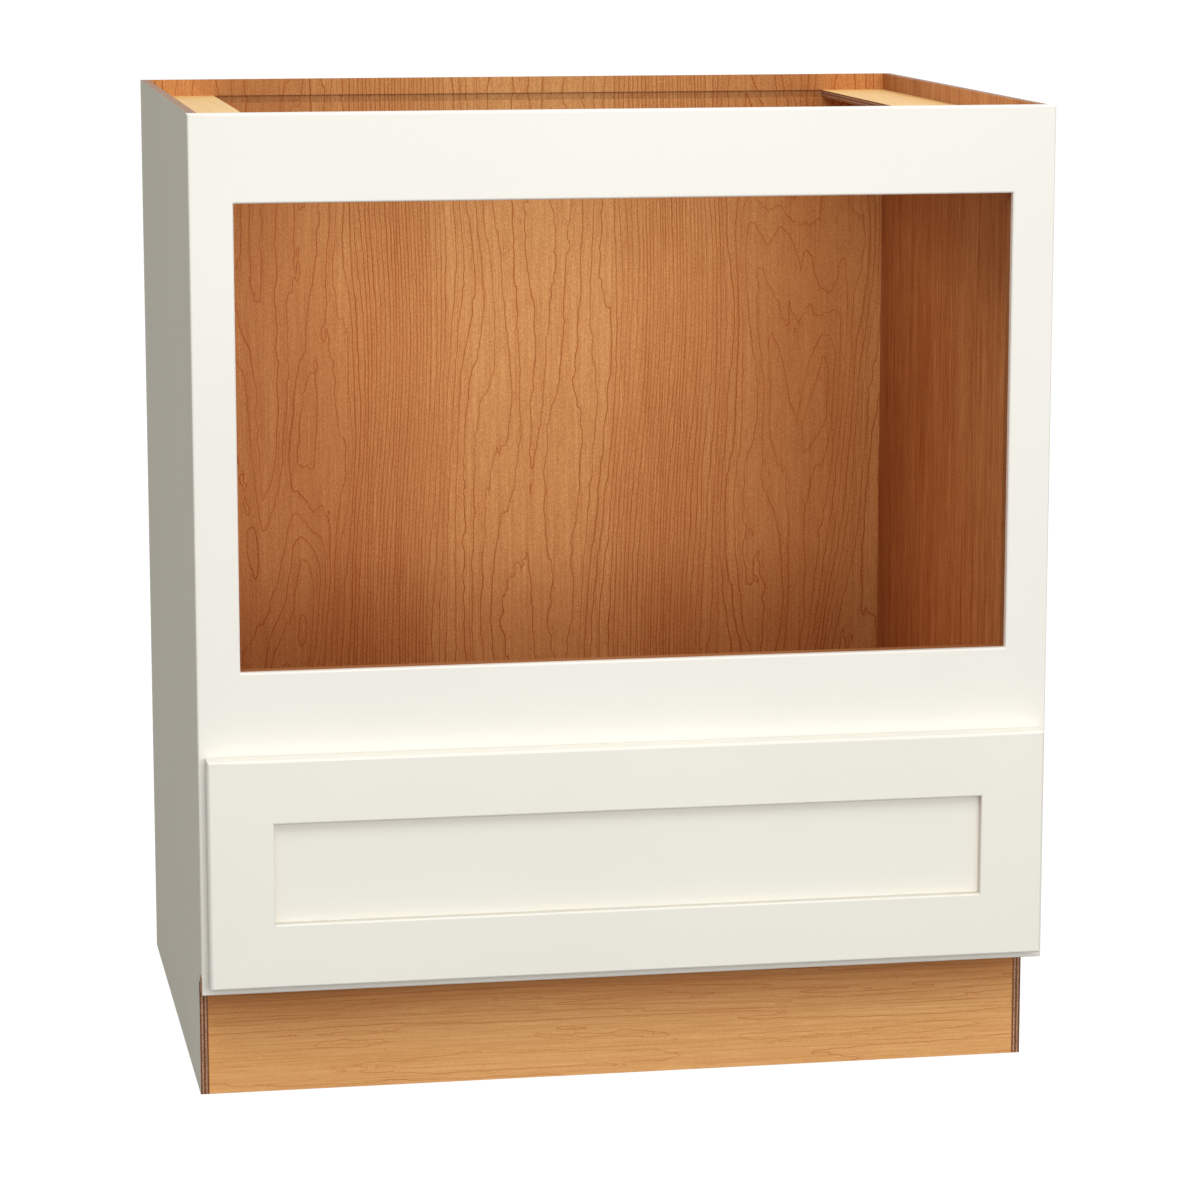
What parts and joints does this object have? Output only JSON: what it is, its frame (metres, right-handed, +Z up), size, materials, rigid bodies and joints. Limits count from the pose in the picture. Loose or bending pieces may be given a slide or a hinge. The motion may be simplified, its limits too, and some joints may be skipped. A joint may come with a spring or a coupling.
{
  "type": "microwave base cabinet",
  "caption": "Kitchen base cabinet with an open bay for a built-in microwave above a wide drawer on hidden full-extension slides.",
  "frame": {"origin": "on the floor, under the middle of the cabinet's width and depth", "axes": "+X to the cabinet's right as seen from the front, +Y to the wall behind it, +Z up"},
  "size_m": [0.762, 0.6096, 0.8763],
  "materials": {
    "painted_frame": "satin warm white paint",
    "painted_front": "satin warm white paint",
    "side_plywood": "cherry-faced plywood, painted warm white outside",
    "back_plywood": "clear-coated cherry-faced plywood",
    "shelf_plywood": "clear-coated cherry-faced plywood",
    "pale_maple": "clear-coated pale maple",
    "toe_board_wood": "bare light wood, grain across",
    "drawer_maple": "clear-coated maple",
    "zinc_steel": "bright zinc plate",
    "screw_steel": "zinc plate",
    "bracket_nylon": "moulded grey nylon",
    "clip_nylon": "moulded grey nylon",
    "lever_nylon": "moulded orange nylon",
    "bumper_rubber": "soft clear bumper"
  },
  "bodies": {
    "cabinet": {"face_frame_left_stile": "painted_frame", "face_frame_right_stile": "painted_frame", "face_frame_top_rail": "painted_frame", "face_frame_mid_rail": "painted_frame", "face_frame_bottom_rail": "painted_frame", "side_panel_left": "side_plywood", "side_panel_right": "side_plywood", "back_panel": "back_plywood", "cabinet_floor": "shelf_plywood", "microwave_deck": "shelf_plywood", "top_strip_left": "pale_maple", "top_strip_right": "pale_maple", "toe_board": "toe_board_wood", "slide_rail_left": "zinc_steel", "slide_rail_right": "zinc_steel", "slide_bracket_left": "bracket_nylon", "slide_bracket_right": "bracket_nylon"},
    "carriage_left": {"slide_carriage_left": "zinc_steel"},
    "carriage_right": {"slide_carriage_right": "zinc_steel"},
    "drawer": {"drawer_left_side": "drawer_maple", "drawer_right_side": "drawer_maple", "drawer_box_front": "drawer_maple", "drawer_back": "drawer_maple", "drawer_bottom": "drawer_maple", "drawer_front_left_stile": "painted_front", "drawer_front_right_stile": "painted_front", "drawer_front_bottom_rail": "painted_front", "drawer_front_top_rail": "painted_front", "drawer_front_panel": "painted_front", "drawer_front_screw_left_low": "screw_steel", "drawer_front_screw_left_high": "screw_steel", "drawer_front_screw_right_low": "screw_steel", "drawer_front_screw_right_high": "screw_steel", "bumper_left": "bumper_rubber", "bumper_right": "bumper_rubber", "slide_runner_left": "zinc_steel", "slide_runner_right": "zinc_steel", "drawer_clip_left": "clip_nylon", "drawer_clip_right": "clip_nylon"},
    "lever_left": {"release_lever_left": "lever_nylon"},
    "lever_right": {"release_lever_right": "lever_nylon"}
  },
  "joints": [
    {"name": "drawer_slide", "type": "slide", "parent": "cabinet", "child": "drawer", "axis": [0, -1, 0], "range_m": [0, 0.525]},
    {"name": "carriage_left_slide", "type": "slide", "parent": "cabinet", "child": "carriage_left", "axis": [0, -1, 0], "range_m": [0, 0.2625]},
    {"name": "carriage_right_slide", "type": "slide", "parent": "cabinet", "child": "carriage_right", "axis": [0, -1, 0], "range_m": [0, 0.2625]},
    {"name": "release_lever_left_pivot", "type": "hinge", "parent": "drawer", "child": "lever_left", "pos_m": [-0.2856, -0.22605, 0.1629], "axis": [0, 0, -1], "range_deg": [0, 10], "stiffness_Nm_per_rad": 0.05},
    {"name": "release_lever_right_pivot", "type": "hinge", "parent": "drawer", "child": "lever_right", "pos_m": [0.2856, -0.22605, 0.1629], "axis": [0, 0, 1], "range_deg": [0, 10], "stiffness_Nm_per_rad": 0.05}
  ],
  "couplings": [
    {"joint": "carriage_left_slide", "follows": "drawer_slide", "ratio": 0.5},
    {"joint": "carriage_right_slide", "follows": "drawer_slide", "ratio": 0.5}
  ]
}
